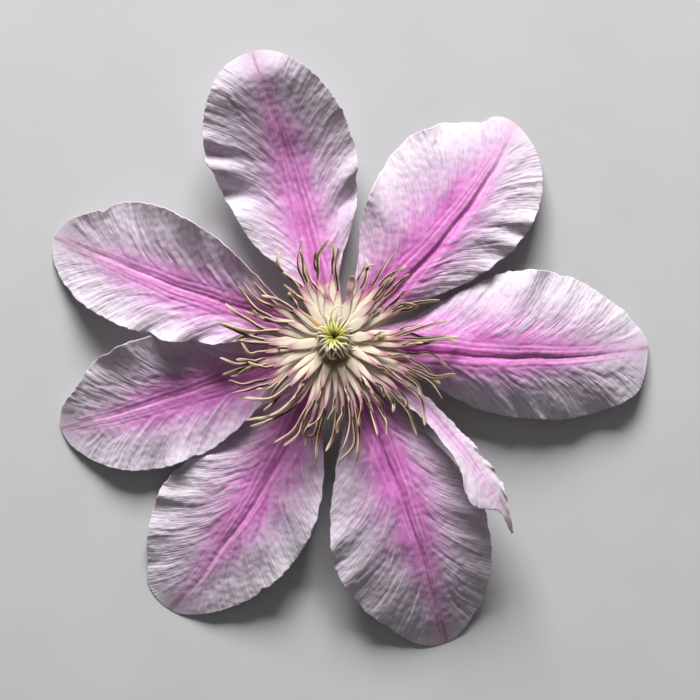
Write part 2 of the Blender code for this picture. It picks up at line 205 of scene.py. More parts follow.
# The pink bar along the midrib
BAR_STATIONS = (0.0, 0.12, 0.3, 0.5, 0.7, 0.85, 1.0)
BAR_HALF_WIDTHS = (2.4, 3.6, 5.4, 5.6, 4.2, 2.4, 0.9)
BAR_STRENGTHS = (0.6, 0.85, 1.0, 0.95, 0.75, 0.4, 0.12)

# Stamens
STAMEN_ROOT = 2.8  # distance of their roots from the axis
STAMEN_SIDES = 12
STAMEN_RINGS = 46
FILAMENT_WIDTHS = (1.9, 2.6)
FILAMENT_ROOT_WIDTH = 1.7
FILAMENT_THICKNESS = 0.26
ANTHER_WIDTH = 0.86
BROAD_ANTHER = 1.75  # how much broader a maroon anther is
ANTHER_THICKNESS = 0.38
TUFT_SHADOW_GAIN = 3.4  # how much farther the olive foot of a filament, painted shadow of the pistil tuft, reaches on the lower side
LAST_SEED = 90.0  # every strap's material has a place of its own in the noise, up to this
# root height and height gained by the stamens whose anthers begin beyond each radius
LEVELS = ((18.0, 12.6, 1.9), (13.6, 13.2, 2.1), (0.0, 13.8, 2.1))

# place where the filament ends and the anther begins, a point on the way and the anther's tip, each
# as azimuth and radius; the seventh value gives the filament's width where it isn't a usual one, and
# the eighth a colour: 1 is a maroon anther, -1 is an old orange-brown filament
STAMENS = (
    (354, 17, 356, 19.5, 358, 22), (355.5, 20.5, 359, 25.6, 358.3, 30.9),
    (359.5, 17, 0, 24, 0.7, 31, 1.2, -1), (3.7, 18.5, 1.4, 21.5, 0.3, 24.5),
    (1.5, 15, 5, 18.3, 9, 28.6), (7, 16.5, 9.6, 19.5, 9, 22.3), (3.5, 10, 5, 11.2, 8, 12.5, 2.8),
    (22, 18, 21.5, 20.2, 20.5, 22.3), (24, 15.8, 24.7, 19, 19.7, 28), (26, 16, 25.4, 19, 22, 22),
    (29, 14.3, 32, 18, 34, 21.4), (32.5, 10.2, 33.5, 12.4, 35, 14.6, 2.8),
    (39.3, 16.2, 40.6, 20.5, 40.7, 24.5), (42.8, 16.3, 44, 19, 45.5, 21.8),
    (43.5, 13.5, 44.8, 17, 46.5, 20.6), (46.5, 17, 46.6, 21, 45.7, 25.5),
    (49, 17, 47.5, 23, 44, 24.8), (54, 16, 55, 21, 54.3, 26.2, 1.0, -1),
    (61.7, 14, 64.7, 19.8, 67.3, 21.2), (67.7, 15.5, 64.7, 20.4, 61.3, 21.3),
    (69.5, 10.5, 72, 13.5, 75.3, 16.2, 3.4, 1), (85, 11.8, 88.5, 17.5, 87.5, 22.8),
    (91.5, 16, 90.5, 19.5, 91.8, 24.6),
    (105, 15.3, 101, 20.4, 92.7, 24.6), (104, 16, 104, 19, 103, 22.1),
    (99.5, 10, 99, 12.1, 98.5, 14.2, 3.6, 1), (109, 12.8, 111.5, 16, 112.5, 19.8),
    (115.5, 15.5, 113.5, 19, 111, 23.4), (118, 15.3, 113.5, 22.5, 108.3, 26.2),
    (122, 15, 127.7, 22, 122.7, 26), (125, 15.5, 127, 19, 128, 22.3),
    (129, 12, 131.5, 15.5, 133.5, 18.5), (140, 12, 137, 14, 134.7, 16, 1.0, -1),
    (145, 12.5, 144.5, 15, 150, 21), (148.5, 10, 149, 12.5, 149.5, 15, 2.8),
    (149.5, 17, 147.5, 21, 144.7, 24.6), (153, 17, 152.7, 21.5, 148.3, 26.5),
    (161.5, 16.5, 157, 22.7, 151.7, 27.1), (161.5, 12, 165.3, 18.6, 159.7, 21.7),
    (164.5, 15, 164, 19, 162.7, 23.3), (172.5, 17.5, 167.7, 22.4, 162.3, 28.6),
    (172.5, 14, 174.7, 22.7, 172.3, 27.9), (181, 17.5, 177.7, 22.1, 172.7, 29.2),
    (175.5, 18, 178.5, 21.5, 181, 24.6), (184.5, 16.3, 183, 20.5, 181, 24.5),
    (191, 17.5, 189.5, 21.3, 183.3, 23.3), (196, 18, 194.3, 25.4, 189.7, 29),
    (197, 19.8, 194.5, 22.4, 192, 25), (191, 12, 189.5, 14.2, 188.3, 16.3, 2.8),
    (201, 18, 198, 24.2, 197.7, 29.6), (199, 21, 200, 24.5, 200.2, 27.8),
    (204.5, 16.7, 200.7, 20, 194.8, 22), (211, 19.5, 207, 24.8, 202, 28.3),
    (214.5, 20, 211, 24, 208.3, 29.5), (226.5, 16, 223, 22, 211.5, 27.9),
    (218, 18, 216.7, 21.2, 213, 23.3), (226, 20, 226.5, 22.7, 226, 25.3),
    (218.5, 14.8, 220.5, 18, 222, 21.5), (237, 17, 230, 25, 223.3, 30.2),
    (240, 18.5, 235, 23.3, 226.7, 30.2), (236, 14, 234.3, 22, 229.7, 25.2),
    (235, 11.8, 235.5, 14, 236, 16.3, 2.8), (248, 19, 245, 25.4, 240.3, 30),
    (249.5, 20, 249.3, 25.4, 245, 29.4), (252, 16, 251, 19.5, 250.5, 22.8),
    (254, 21.5, 253, 25, 254.5, 28), (259, 20, 257.5, 25, 252.3, 26),
    (261.5, 17.5, 256.5, 22, 252.7, 23.4), (263, 18, 260.5, 24, 262, 31.3),
    (255.5, 12.5, 256, 15, 256, 17.3, 2.8), (271.5, 18.5, 269.3, 24.5, 265.3, 28),
    (270.5, 15, 268, 18, 265.8, 20.5), (277, 17, 273.7, 20.6, 271, 23.4),
    (283, 20, 281, 26, 272.3, 30.6), (283, 16.5, 279, 23, 274.3, 27.5),
    (287, 18, 284.3, 25.4, 280, 31.4), (292.5, 17.5, 289, 20.5, 285.5, 22.9),
    (283, 12.2, 283, 14.2, 283, 16.2, 2.8), (299, 18, 296.5, 22, 294, 26.4),
    (296.5, 14.8, 297.5, 18, 298, 21), (303, 20.5, 302.3, 24.2, 298.3, 27.6),
    (305, 16.8, 305.5, 20.4, 300, 23.3), (303.5, 11.9, 304, 13.8, 304, 15.6, 2.8),
    (314, 19, 311.7, 22.3, 308, 23.8), (312.5, 15, 313.7, 18, 310, 18.8),
    (317, 19, 314.3, 27, 310.3, 32), (321, 20, 319, 24, 313.5, 25.5), (327, 21, 323.7, 26.8, 316.3, 31.2),
    (333, 19.5, 329.7, 24.5, 324.2, 26.5), (328.5, 15, 328, 19, 327, 22.5, 2.8),
    (336, 20, 334.7, 26.8, 330.3, 30.8), (328, 12.5, 329.5, 15, 331.5, 17.8),
    (345, 19, 341, 23.9, 337, 28.9), (339, 20.5, 339.3, 26.2, 343, 31.3, 1.2, -1),
    (348.5, 18.5, 350, 24.5, 347, 29.2), (342.5, 14, 345, 17, 346, 19.3),
)
STAMEN_GROUPS = 4
STAMEN_NODES = 50

# Pistils: a dome of carpels and the styles, which reach farther on some sides than on others
CARPEL_COUNT = 60
CARPEL_RINGS = 11
CARPEL_KIND = 1.0  # tells the material that a strap is a carpel; styles have 0 or less
DOME_RADIUS = 3.5
DOME_HEIGHT = 3.2
DOME_BASE = 14.6
DOME_LEAN = 1.2  # how far the dome leans towards the lower sepals
STYLE_RINGS = 34
STYLE_SIDES = 10
STYLE_WIDTH = 0.57
STYLE_SWAY = 0.3
REST_OF_STYLES = 16.7  # height at which they lie on the filaments
# styles, each as places x, y on its way outward
STYLES = (
    (-0.8, -1.1, -1.2, -3.1, -0.6, -4.9, 0.4, -4.9), (-1.9, -1.5, -2.7, -2.4, -3.7, -4.1, -2.9, -5.0),
    (-1.5, -1.1, -1.9, -2.8, -2.8, -4.2, -3.4, -5.2), (-0.6, -0.8, -0.3, -2.4, 0.8, -3.9, 1.7, -5.0),
    (0.1, -0.8, 1.0, -2.3, 1.7, -3.6, 2.6, -4.6), (0.6, -0.4, 2.1, -2.0, 2.7, -3.8, 4.1, -4.6),
    (0.9, 0.0, 2.6, -0.8, 3.4, -2.2, 5.1, -3.1, 5.5, -1.9), (0.9, 0.3, 3.2, -0.3, 5.0, -1.5),
    (0.3, -0.9, 0.5, -2.6, -0.4, -3.8, -0.2, -5.3), (-1.2, -0.3, -2.9, -1.5, -4.4, -2.1),
    (-1.0, 0.5, -3.2, 0.4, -4.8, -0.3), (-1.1, 0.1, -3.0, -0.4, -4.0, -1.6, -5.6, -3.1),
    (-0.5, 1.0, -1.3, 3.6, -1.2, 5.8), (-0.1, 1.1, 0.2, 3.6, -0.3, 6.0),
    (-0.3, 0.8, -0.8, 4.8, 0.0, 7.2, 1.1, 7.9, 2.2, 7.6), (0.6, 1.2, 1.7, 3.2, 2.7, 4.8),
    (0.9, 1.0, 2.5, 2.9, 3.6, 4.1), (1.0, 0.8, 3.2, 1.7, 4.5, 1.5), (-1.0, 1.0, -2.6, 2.7, -4.0, 2.7),
    (-1.1, 0.7, -3.6, 1.5, -5.2, 1.0), (-0.8, 1.2, -2.0, 3.4, -3.0, 4.7), (0.3, 1.2, 0.9, 3.4, 1.6, 5.2),
    (1.1, 0.5, 3.0, 0.8, 5.1, 0.9), (-0.4, 1.3, -0.7, 3.0, -2.0, 5.6), (0.8, -0.7, 2.9, -1.5, 4.7, -3.9),
    (-0.2, -1.0, -1.0, -2.2, -1.6, -4.0, -1.1, -5.3), (0.9, 0.8, 2.9, 2.3, 4.6, 2.6),
    (1.0, 0.1, 2.7, 0.1, 3.7, -0.9, 3.9, -2.5), (-1.0, 0.8, -2.9, 2.0, -4.9, 2.5),
    (-0.9, -0.8, -2.2, -2.0, -2.1, -3.4, -1.4, -4.2), (0.4, -0.7, 1.5, -1.7, 3.3, -3.2, 3.0, -4.2),
)

# Receptacle, as heights and radii from the cut end of the stalk to the top of the column
COLUMN_RINGS = 80
COLUMN_SIDES = 96
COLUMN_PROFILE = (
    (STALK_END, 1.18), (STALK_END + 0.05, 1.3), (0.8, 1.42), (1.6, 1.45), (2.8, 1.42), (4.0, 1.45),
    (5.0, 1.6), (5.8, 1.95), (6.5, 2.6), (7.1, 3.15), (7.8, 3.4), (9.6, 3.4), (10.2, 3.25), (11.5, 3.05),
    (13.0, 3.05), (COLUMN_TOP - 0.5, 2.8), (COLUMN_TOP, 2.3),
)
CUT_END = ((0.8, 0.1), (0.5, 0.04), (0.2, 0.08))  # rings as (share of the radius, depth of the dish)

# Stage, in metres
FLOOR_HALF_SIZE = 3.0
FLOOR_GREYS = ((0.56, 0.56, 0.56), (0.59, 0.59, 0.59))
LAMP_SIZE = (0.9, 0.5)
LAMP_PLACE = (-0.12, 1.25, 0.64)
LAMP_TURN = (-63.0, 0.0, -6.0)
LAMP_POWER = 40.5
SURROUND_COLOUR = (1.0, 0.98, 1.0, 1.0)
SURROUND_STRENGTH = 0.13

# View: straight down on the flower from well above it
VIEW_WIDTH = 175.0
VIEW_HEIGHT = 9.0
VIEW_CENTRE = (3.875, -2.875)
VIEW_DISTANCE = 900.0
SENSOR = 36.0

# ---------------- curves, noise and meshes


def through(stations, values, places):
    """Reads a smooth curve through the values at the stations, at the given places."""
    stations = np.asarray(stations, float)
    values = np.asarray(values, float)
    slopes = np.gradient(values, stations)
    left = np.clip(np.searchsorted(stations, places, side="right") - 1, 0, len(stations) - 2)
    step = stations[left + 1] - stations[left]
    s = (places - stations[left]) / step
    return (
        values[left] * (1 + 2 * s) * (1 - s) ** 2
        + values[left + 1] * s ** 2 * (3 - 2 * s)
        + slopes[left] * step * s * (1 - s) ** 2
        - slopes[left + 1] * step * s ** 2 * (1 - s)
    )


def held(value):
    """The value, held between 0 and 1."""
    return np.clip(value, 0.0, 1.0)


def smooth_step(low, high, value):
    """0 below low and 1 above high, with a smooth change between; low may be the larger."""
    s = held((value - low) / (high - low))
    return s * s * (3.0 - 2.0 * s)


def bell(value, centre, breadth):
    return np.exp(-0.5 * ((value - centre) / breadth) ** 2)


def noise(x, y, seed):
    """Gradient noise, about -1 to 1, at the places x, y."""
    x, y = np.broadcast_arrays(x, y)
    angles = np.random.default_rng(seed).uniform(0.0, 2.0 * math.pi, (NOISE_CELLS, NOISE_CELLS))
    cell_x, cell_y = np.floor(x).astype(int), np.floor(y).astype(int)
    part_x, part_y = x - cell_x, y - cell_y

    def corner(step_x, step_y):
        angle = angles[(cell_x + step_x) % NOISE_CELLS, (cell_y + step_y) % NOISE_CELLS]
        return np.cos(angle) * (part_x - step_x) + np.sin(angle) * (part_y - step_y)

    u, v = smooth_step(0.0, 1.0, part_x), smooth_step(0.0, 1.0, part_y)
    near = corner(0, 0) * (1 - u) + corner(1, 0) * u
    far = corner(0, 1) * (1 - u) + corner(1, 1) * u
    return NOISE_GAIN * (near * (1 - v) + far * v)


def polar(azimuth, radius):
    angle = math.radians(azimuth)
    return radius * np.array((math.cos(angle), math.sin(angle)))


def unit(vectors):
    return vectors / np.linalg.norm(vectors, axis=-1, keepdims=True)


def surface_normals(points):
    return unit(np.cross(np.gradient(points, axis=0), np.gradient(points, axis=1)))


def upward_normals(points):
    normals = surface_normals(points)
    return normals * np.sign(normals[..., 2:].mean())


def link(item):
    bpy.context.scene.collection.objects.link(item)
    return item


def make_object(name, points, faces, materials, attributes, face_materials=None):
    """A smooth-shaded piece from points in millimetres about the flower's axis."""
    mesh = bpy.data.meshes.new(name)
    placed = np.asarray(points, float) * MM + AXIS
    mesh.from_pydata(placed.tolist(), [], faces)
    for material in materials:
        mesh.materials.append(material)
    if face_materials is not None:
        mesh.polygons.foreach_set("material_index", np.asarray(face_materials, np.int32))
    for key, values in attributes.items():
        kind, field = ("FLOAT_VECTOR", "vector") if np.ndim(values) == 2 else ("FLOAT", "value")
        attribute = mesh.attributes.new(key, kind, "POINT")
        attribute.data.foreach_set(field, np.asarray(values, np.float32).ravel())
    mesh.shade_smooth()
    mesh.update()
    piece = link(bpy.data.objects.new(name, mesh))
    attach(piece, "root")
    return piece


# ---------------- materials


class Field:
    """A number or colour that varies over a surface; arithmetic on it adds Math nodes."""

    def __init__(self, nodes, socket):
        self.nodes, self.socket = nodes, socket

    def __add__(self, other):
        return self.nodes.math("ADD", self, other)

    def __sub__(self, other):
        return self.nodes.math("SUBTRACT", self, other)

    def __rsub__(self, other):
        return self.nodes.math("SUBTRACT", other, self)

    def __mul__(self, other):
        return self.nodes.math("MULTIPLY", self, other)

    def __truediv__(self, other):
        return self.nodes.math("DIVIDE", self, other)

    def __abs__(self):
        return self.nodes.math("ABSOLUTE", self)


class Nodes:
    """A material's node tree; paint and shade lay colours over the colour that is there."""

    MIX_FACTOR, MIX_FIRST, MIX_SECOND = 0, 6, 7  # inputs of a Mix node that mixes colours
    MIX_COLOUR = 2  # and its output

    def __init__(self, name):
        self.material = bpy.data.materials.new(name)
        self.material.use_nodes = True
        self.tree = self.material.node_tree
        self.shader = self.tree.nodes["Principled BSDF"]
        self.colour = None

    def feed(self, node, inputs):
        """Sets a node's inputs, and links the ones that vary over the surface."""
        for key, value in inputs.items():
            if isinstance(value, Field):
                self.tree.links.new(value.socket, node.inputs[key])
            else:
                node.inputs[key].default_value = value

    def outputs(self, kind, inputs, **settings):
        """Adds a node with its settings and inputs, and gives its outputs."""
        node = self.tree.nodes.new("ShaderNode" + kind)
        for key, value in settings.items():
            setattr(node, key, value)
        self.feed(node, inputs)
        return node.outputs

    def add(self, kind, output, inputs, **settings):
        return Field(self, self.outputs(kind, inputs, **settings)[output])

    def reading(self, name):
        """A number that the mesh's points hold."""
        return self.add("Attribute", "Fac", {}, attribute_name=name)

    def readings(self, name):
        """The three numbers of a vector that the mesh's points hold."""
        vector = self.add("Attribute", "Vector", {}, attribute_name=name)
        return [Field(self, output) for output in self.outputs("SeparateXYZ", {"Vector": vector})]

    def join(self, x, y, z):
        return self.add("CombineXYZ", "Vector", {"X": x, "Y": y, "Z": z})

    def math(self, operation, *values):
        return self.add("Math", 0, dict(enumerate(values)), operation=operation)

    def step(self, value, low, high):
        """As smooth_step, in nodes."""
        inputs = {"Value": value, "From Min": low, "From Max": high}
        return self.add("MapRange", "Result", inputs, interpolation_type="SMOOTHSTEP")

    def noise(self, vector, scale, detail=2.0, roughness=0.5):
        """Noise from -0.5 to 0.5."""
        inputs = {"Vector": vector, "Scale": scale, "Detail": detail, "Roughness": roughness}
        return self.add("TexNoise", "Fac", inputs) - 0.5

    def mix(self, factor, first, second, blend="MIX"):
        first, second = ((*c, 1.0) if isinstance(c, tuple) else c for c in (first, second))
        inputs = {self.MIX_FACTOR: factor, self.MIX_FIRST: first, self.MIX_SECOND: second}
        return self.add("Mix", self.MIX_COLOUR, inputs, data_type="RGBA", blend_type=blend)

    def paint(self, factor, colour):
        self.colour = self.mix(factor, self.colour, colour)

    def shade(self, factor, colour):
        self.colour = self.mix(factor, self.colour, colour, "MULTIPLY")

    def bump(self, height, strength, distance):
        inputs = {"Strength": strength, "Distance": distance, "Height": height}
        self.feed(self.shader, {"Normal": self.add("Bump", "Normal", inputs)})

    def finish(self, roughness, sheen=0.0, subsurface=0.0, specular=0.4):
        self.feed(self.shader, {
            "Base Color": self.colour, "Roughness": roughness, "Specular IOR Level": specular,
            "Sheen Weight": sheen, "Sheen Roughness": 0.4, "Subsurface Weight": subsurface,
            "Subsurface Radius": (1.0, 0.5, 0.7), "Subsurface Scale": 0.0008,
        })
        return self.material


def sepal_upper_material():
    """Lilac-white margins, a feathered pink bar, paler vein ridges and a mealy surface, with painted
    highlight and shade on the fine lines and the pleats.
    """
    margin, dusk = (0.66, 0.59, 0.66), (0.56, 0.45, 0.56)
    rose, magenta = (0.62, 0.28, 0.57), (0.65, 0.11, 0.51)
    pale_rib, deep_rib = (0.72, 0.52, 0.64), (0.62, 0.30, 0.52)
    pale_fibre, deep_fibre = (0.74, 0.46, 0.66), (0.74, 0.40, 0.68)
    throat, meal_white, brown = (0.72, 0.36, 0.68), (0.93, 0.86, 0.94), (0.30, 0.19, 0.18)
    # fine vein lines: partly their own paler and deeper colour, partly painted highlight on the ridges and
    # painted shade in the grooves
    pale_line_and_highlight, deep_line_and_shade = (0.78, 0.68, 0.76), (0.52, 0.30, 0.50)
    # colours of the painted highlight on the pleats' crests and the painted shade in their valleys
    crest, valley_shade = (0.74, 0.62, 0.72), (0.62, 0.36, 0.60)

    n = Nodes("sepal_upper")
    share, across, edge = n.readings("petal")
    vein, offset, seed = n.readings("vein")
    bar, strength, pleat, stain = map(n.reading, ("bar", "bar_strength", "pleat", "stain"))
    near = abs(across)
    place = share * USUAL_LENGTH
    grain = n.join(place + across, place - across, seed)
    drift = vein * 0.5 + n.noise(grain, 0.25) * 1.8
    run = offset * 0.13 + n.noise(grain, 0.31) * 1.6
    feather = n.noise(n.join(drift, run, seed), 1.3, 3.0, 0.6)
    cloud = n.noise(grain, 0.085)
    meal = n.noise(grain, 2.3, 3.0, 0.7)
    mottle = n.noise(grain, 0.39, 3.0, 0.6)
    fine = n.join(vein * 1.2, offset * 0.22, seed)
    streak = n.noise(fine, 1.05, 2.0, 0.6) * n.step(near, 1.5, 8.0)

    lilac = cloud * 0.9 + n.step(edge, 1.1, 0.2)
    n.colour = n.mix(lilac * 0.8, margin, dusk)
    reach = bar + feather * 1.5 + mottle * 0.85 + pleat * 0.7
    n.paint(n.step(reach, 2.5, 0.5) * strength * 0.7, rose)
    n.paint(n.step(reach, 1.3, 0.1) * strength * 0.9, magenta)

    spread = 1.2 - share
    ratio = near / spread
    rib = n.math("PINGPONG", ratio + (feather * 0.8 + mottle * 0.9), 0.95)
    ribbed = n.step(ratio, 5.2, 2.4) * n.step(cloud, -0.3, 0.06)
    n.paint(n.step(rib, 0.45, 0.1) * n.step(meal, -0.3, 0.1) * ribbed * 0.58, pale_rib)
    n.shade(n.step(rib, 0.6, 0.9) * ribbed * 0.22, deep_rib)
    fibre_place = across / spread + mottle * 0.5
    fibre = n.noise(n.join(share * 9.0, fibre_place * 1.7, seed), 1.0)
    within = n.step(ratio, 9.0, 4.0) * strength
    n.paint(n.step(fibre, 0.03, 0.24) * within * 0.4, pale_fibre)
    n.shade(n.step(fibre, -0.03, -0.24) * within * 0.4, deep_fibre)
    n.shade(n.step(near, 2.8, 0.3) * n.step(share, 0.65, 0.12) * 0.6, throat)

    # the fine lines follow the bump: paler vein colour with painted highlight on the ridges, deeper colour
    # with painted shade in the grooves
    n.paint(n.step(streak, 0.04, 0.2) * 0.34, pale_line_and_highlight)
    n.shade(n.step(streak, -0.05, -0.22) * 0.34, deep_line_and_shade)
    # painted highlight on the crests of the pleats and painted shade in their valleys, from the pleats'
    # height
    n.paint(n.step(pleat, 0.0, 0.28) * 0.2, crest)
    n.shade(n.step(pleat, 0.02, -0.26) * 0.25, valley_shade)
    n.paint(n.step(meal, 0.02, 0.25) * 0.16, meal_white)
    n.paint(n.step(stain + mottle * 0.5, 0.25, 0.85) * 0.6, brown)
    n.bump(streak + meal * 0.35, 1.0, 0.00034)
    return n.finish(meal * 0.35 + 0.58, sheen=0.12, subsurface=0.08)


def sepal_under_material():
    """Paler and duller than the upper side, with a greenish-pink stripe along the ribs."""
    lilac, deep_lilac, stripe_pink = (0.74, 0.66, 0.75), (0.62, 0.49, 0.64), (0.56, 0.30, 0.44)
    rib_green, root_green = (0.50, 0.46, 0.34), (0.40, 0.46, 0.22)
    pale_line_and_highlight, deep_line_and_shade, down_white = (0.86, 0.80, 0.84), (0.62, 0.42, 0.58), (0.84, 0.80, 0.83)

    n = Nodes("sepal_under")
    share, across, edge = n.readings("petal")
    vein, offset, seed = n.readings("vein")
    grain = n.join(share * USUAL_LENGTH, across, seed)
    streak = n.noise(n.join(vein * 0.75, offset * 0.12, seed), 1.1, 3.0, 0.6)
    down = n.noise(grain, 4.5, 3.0, 0.7)
    cloud = n.noise(grain, 0.14)
    near = abs(across)
    ratio = near / (1.2 - share)

    n.colour = n.mix(n.step(edge, 1.0, 0.3) + cloud * 0.9, lilac, deep_lilac)
    n.paint(n.step(near + streak * 4.0, 5.4, 1.2) * n.step(share, 1.05, 0.4) * 0.8, stripe_pink)
    rib = n.math("PINGPONG", ratio + streak * 0.8, 1.15)
    n.paint(n.step(rib, 0.4, 0.12) * n.step(ratio, 4.6, 2.0) * 0.65, rib_green)
    n.paint(n.step(near, 2.6, 0.4) * n.step(share, 0.75, 0.02) * 0.65, root_green)
    # the fine lines follow the bump: paler vein colour with painted highlight on the ridges, deeper colour
    # with painted shade in the grooves
    n.paint(n.step(streak, 0.0, 0.2) * 0.45, pale_line_and_highlight)
    n.shade(n.step(streak, -0.04, -0.22) * 0.4, deep_line_and_shade)
    n.paint(n.step(down, 0.0, 0.25) * 0.25, down_white)
    n.bump(streak * 1.6 + down * 0.6, 0.9, 0.0003)
    return n.finish(down * 0.3 + 0.68, sheen=0.25, subsurface=0.06)


def stamen_material():
    """Cream filaments tinged purple towards the anther, an olive foot that is also painted shade under the
    pistil tuft, and beige sacs on a maroon middle, with painted shade along one flank.
    """
    cream, pale_cream = (0.94, 0.75, 0.57), (0.98, 0.83, 0.68)
    olive_and_tuft_shadow, orange = (0.40, 0.34, 0.14), (0.66, 0.40, 0.15)
    flush, hem, connective_and_flank_shade = (0.44, 0.14, 0.27), (0.24, 0.04, 0.10), (0.09, 0.02, 0.03)
    beige, pollen, maroon = (0.60, 0.50, 0.32), (0.80, 0.71, 0.49), (0.46, 0.27, 0.27)

    n = Nodes("stamen")
    share, across, tint = n.readings("strap")
    length, side, seed = n.readings("strip")
    grain = n.join(length, side, seed)
    streak = n.noise(n.join(length * 0.12, side * 2.6, seed), 1.6, 3.0, 0.6)
    meal = n.noise(grain, 3.0, 3.0, 0.7)
    blotch = n.noise(grain, 0.35)

    n.colour = n.mix(n.step(streak, -0.25, 0.2), cream, pale_cream)
    # olive tint at the filaments' foot, which is also painted shade under the pistil tuft
    n.paint(n.step(length, 2.8, 0.4) * 0.8, olive_and_tuft_shadow)
    n.paint(n.step(tint, -0.2, -0.8) * 0.85, orange)
    rise = share + blotch * 0.3
    n.paint(n.step(rise, 0.68, 1.0) * 0.8, flush)
    n.paint(n.step(rise, 0.42, 0.9) * n.step(abs(across), 0.5, 0.95) * 0.85, hem)

    anther = n.step(share, 0.985, 1.02)
    # maroon connective between the sacs; its band lies off-centre, so one flank of each anther also carries
    # painted shade
    sac = n.step(abs(across - 0.3) + meal * 0.5, 0.46, 0.72)
    sac = n.math("MAXIMUM", sac, n.step(rise, 1.5, 2.0) * 0.8)
    body = n.mix(sac, connective_and_flank_shade, beige)
    body = n.mix(n.step(meal, 0.0, 0.3) * (sac * 0.6), body, pollen)
    n.paint(anther, body)
    n.paint(n.step(tint, 0.2, 0.8) * anther * 0.8, maroon)
    n.bump(streak + meal * 0.6, 0.5, 0.00012)
    return n.finish(meal * 0.3 + 0.5, sheen=0.08, subsurface=0.25)


def pistil_material():
    """Styles that pass from painted shade at the foot, in the pit at the centre, through yellow-green to
    cream, over silky brown-grey carpels.
    """
    pit_shade, yellow_green, cream = (0.02, 0.025, 0.004), (0.42, 0.40, 0.055), (0.88, 0.78, 0.55)
    dark_silk, light_silk = (0.025, 0.014, 0.008), (0.40, 0.29, 0.20)

    n = Nodes("pistil")
    share, _, kind = n.readings("strap")
    length, side, seed = n.readings("strip")
    hair = n.noise(n.join(length * 0.3, side * 5.0, seed), 2.2, 3.0, 0.7)
    meal = n.noise(n.join(length, side, seed), 4.0)
    place = share + meal * 0.3 - n.math("MINIMUM", kind, 0.0) * 0.34

    # near-black at the styles' feet is painted shade in the pit at the centre
    n.colour = n.mix(n.step(place, 0.06, 0.34), pit_shade, yellow_green)
    n.paint(n.step(place, 0.42, 0.9), cream)
    n.paint(n.step(kind, 0.4, 0.6), n.mix(n.step(hair, -0.2, 0.25), dark_silk, light_silk))
    n.bump(hair + meal, 0.5, 0.0001)
    return n.finish(hair * 0.3 + 0.5, sheen=0.15, subsurface=0.1)


def stalk_material():
    """Green fluted stalk with purple-brown streaks, and a pale cut end."""
    deep_green, green, brown = (0.13, 0.19, 0.04), (0.30, 0.38, 0.12), (0.34, 0.22, 0.14)
    column, deep_pith, pith = (0.70, 0.66, 0.46), (0.52, 0.55, 0.30), (0.72, 0.72, 0.50)

    n = Nodes("stalk")
    height, turn, cut = n.readings("stalk")
    streak = n.noise(n.join(height * 0.25, turn * 9.0, 0.0), 1.2, 3.0, 0.6)
    down = n.noise(n.join(height, turn * 3.0, 0.0), 3.5, 3.0, 0.7)

    n.colour = n.mix(n.step(streak, -0.2, 0.25), deep_green, green)
    n.paint(n.step(down, 0.02, 0.3) * 0.5, brown)
    n.paint(n.step(height, 9.5, 12.0), column)
    n.paint(n.step(cut, 0.4, 0.6), n.mix(n.step(down, -0.2, 0.2), deep_pith, pith))
    n.bump(streak + down * 0.5, 0.5, 0.0002)
    return n.finish(down * 0.3 + 0.55, sheen=0.1)


def floor_material():
    """Matt pale paper."""
    n = Nodes("floor")
    paper = n.noise(n.add("TexCoord", "Object", {}), 40.0, 4.0)
    n.colour = n.mix(n.step(paper, -0.3, 0.3), *FLOOR_GREYS)
    return n.finish(0.8, specular=0.2)


# ---------------- sepals


def half_width(widths, t):
    """Half width of a sepal at the shares t of its length, with a round tip that ends in a mucro."""
    to_tip = np.sqrt(1.0 - np.asarray(WIDTH_STATIONS))[::-1]
    values = np.array((ROOT_HALF_WIDTH, *widths, 0.0))[::-1]
    return np.maximum(through(to_tip, values, np.sqrt(1.0 - t)), MUCRO_HALF_WIDTH)


def margin_place(sepal, t, v, seed):
    """Half width of a sheet on the side of each place, with a scalloped and notched margin."""
    along, side = t * (sepal.length - SEPAL_ROOT), np.sign(v) * 3.0
    long, short = SCALLOP_LENGTHS
    width = np.where(v > 0, half_width(sepal.left, t), half_width(sepal.right, t))
    scallop = noise(along / long, side, seed) + 0.6 * noise(along / short, side, seed + 1)
    width = width + SCALLOP_DEPTH * scallop * smooth_step(0.12, 0.3, t) * np.abs(v) ** 2
    for hand, place, depth, breadth in sepal.notches:
        width = width - depth * held(v * hand) ** 3 * bell(t, place, breadth)
    return width


def sheet_height(sepal, t, v, width):
    """Height of a sheet: its midrib, the lift and waves of its margins, and its roll."""
    growth = np.sin(math.pi * held(t * 0.92 + 0.04)) ** 0.8
    growth = growth * held(width / (0.4 * width.max())) ** 2
    lift = np.where(v > 0, sepal.edges[0], sepal.edges[1]) * growth * v ** 2
    ripple = np.zeros_like(lift)
    for hand, place, height, breadth in sepal.waves:
        reach = held(v * hand)
        crest = bell(t, place - WAVE_LEAN * (1.0 - reach), breadth)
        ripple += WAVE_HEIGHT * height * reach ** WAVE_FADE * crest
    roll = np.tan(np.radians(through(ROLL_STATIONS, sepal.roll, t)))
    return through(HEIGHT_STATIONS, sepal.spine, t) + lift + ripple + v * width * roll


